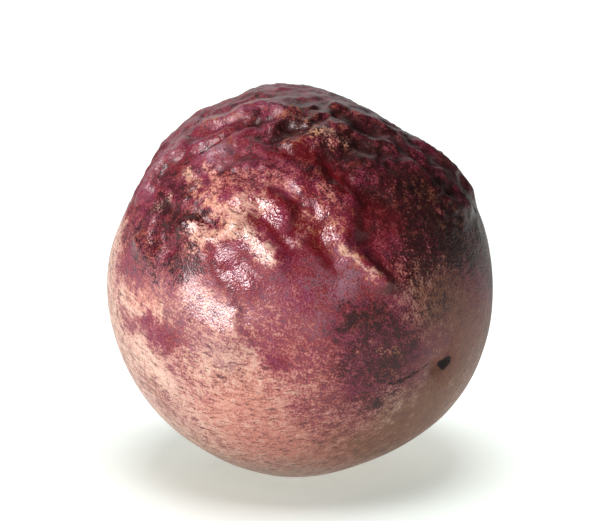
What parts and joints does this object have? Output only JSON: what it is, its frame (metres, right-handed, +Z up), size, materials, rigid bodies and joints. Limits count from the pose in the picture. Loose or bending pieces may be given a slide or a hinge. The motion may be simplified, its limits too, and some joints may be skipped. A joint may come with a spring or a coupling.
{
  "type": "passion fruit",
  "caption": "Whole ripe purple passion fruit with a drying, wrinkled crown, lying on the small flat spot that it settled on.",
  "frame": {"origin": "on the surface that the fruit rests on, under the middle of its outline", "axes": "+Z up from the resting spot, -Y towards the front with the wrinkled crown above, +X to the right, where the small dark scar of the tip is"},
  "size_m": [0.0504, 0.049, 0.0504],
  "materials": {
    "rind": "leathery fruit skin, crimson to purple over the crown and flushed over cream and tan below, finely speckled, with a soft waxy gloss"
  },
  "bodies": {
    "root": {"passion_fruit": "rind"}
  },
  "joints": []
}
